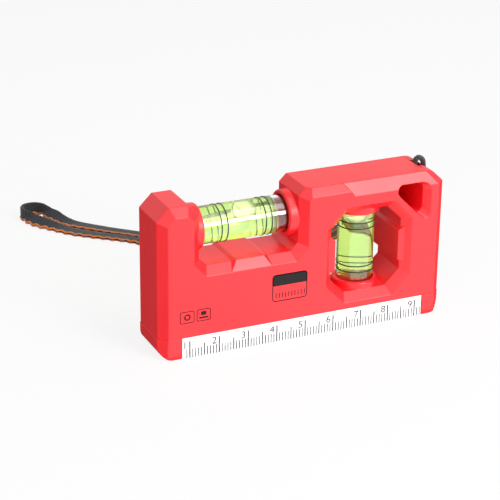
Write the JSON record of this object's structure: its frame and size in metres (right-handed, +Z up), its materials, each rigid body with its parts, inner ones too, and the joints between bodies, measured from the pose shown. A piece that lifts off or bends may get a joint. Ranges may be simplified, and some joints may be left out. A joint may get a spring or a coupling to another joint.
{
  "type": "pocket spirit level",
  "caption": "Pocket spirit level: block body with a level vial across a top notch, a plumb vial in a side window, a ruled base shoe and a wrist strap.",
  "frame": {"origin": "middle of the underside of the base shoe", "axes": "+X along the length from the notch end to the window end, +Y to the rear across the thickness, +Z up from the base"},
  "size_m": [0.1036, 0.1359, 0.0518],
  "materials": {
    "body": "moulded red, satin",
    "ruler": "white printed label",
    "magnet": "nickel plated",
    "acrylic": "clear, polished",
    "fluid": "clear yellow green liquid",
    "air": "clear",
    "line": "printed black",
    "cord": "braided black cord",
    "sleeve": "moulded black",
    "webbing": "woven black tape with an orange stitched edge"
  },
  "bodies": {
    "level": {"body_front_half": "body", "body_rear_half": "body", "base_shoe": "body", "ruler_strip": "ruler", "magnet_1": "magnet", "magnet_2": "magnet", "long_vial_barrel": "acrylic", "long_vial_plug": "acrylic", "long_vial_fluid": "fluid", "long_vial_line_1": "line", "long_vial_line_2": "line", "long_vial_line_3": "line", "long_vial_line_4": "line", "upright_vial_barrel": "acrylic", "upright_vial_plug": "acrylic", "upright_vial_fluid": "fluid", "upright_vial_line_1": "line", "upright_vial_line_2": "line", "upright_vial_line_3": "line", "upright_vial_line_4": "line", "lanyard_cord": "cord", "lanyard_sleeve": "sleeve", "lanyard_strap": "webbing"},
    "long_bubble": {"long_vial_bubble": "air"},
    "upright_bubble": {"upright_vial_bubble": "air"}
  },
  "joints": [
    {"name": "long_bubble_slide", "type": "slide", "parent": "level", "child": "long_bubble", "axis": [1, 0, 0], "range_m": [-0.0034, 0.0034], "stiffness_N_per_m": 0.5},
    {"name": "upright_bubble_slide", "type": "slide", "parent": "level", "child": "upright_bubble", "axis": [0, 0, 1], "range_m": [-0.0166, 0], "stiffness_N_per_m": 1, "springref_m": 0.02}
  ]
}
